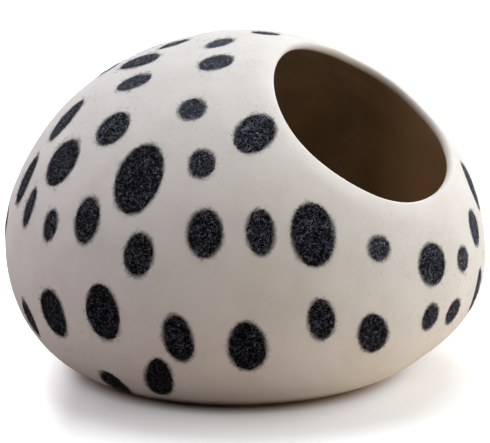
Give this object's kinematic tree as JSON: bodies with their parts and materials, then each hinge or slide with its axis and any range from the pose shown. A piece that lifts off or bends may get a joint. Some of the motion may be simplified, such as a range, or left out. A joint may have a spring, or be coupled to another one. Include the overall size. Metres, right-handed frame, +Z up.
{
  "type": "felt cat cave",
  "caption": "Hollow round cave of thick seamless wool felt, white with dark spots, with a slanted oval doorway high on its front and a flat foot.",
  "frame": {"origin": "on the floor, under the middle of the dome", "axes": "+Z up, the doorway faces -Y and slants up, +X to the right of someone who looks in at the doorway"},
  "size_m": [0.4613, 0.4602, 0.3229],
  "materials": {
    "white_wool": "dense matt wool felt, natural white, slightly mottled, with fine short fuzz",
    "charcoal_wool": "charcoal wool spots felted into the white, with soft hairy edges and grey flecks",
    "inner_wool": "the same felt inside, undyed brown-grey wool"
  },
  "bodies": {
    "root": {"cave_shell": "white_wool"}
  },
  "joints": []
}
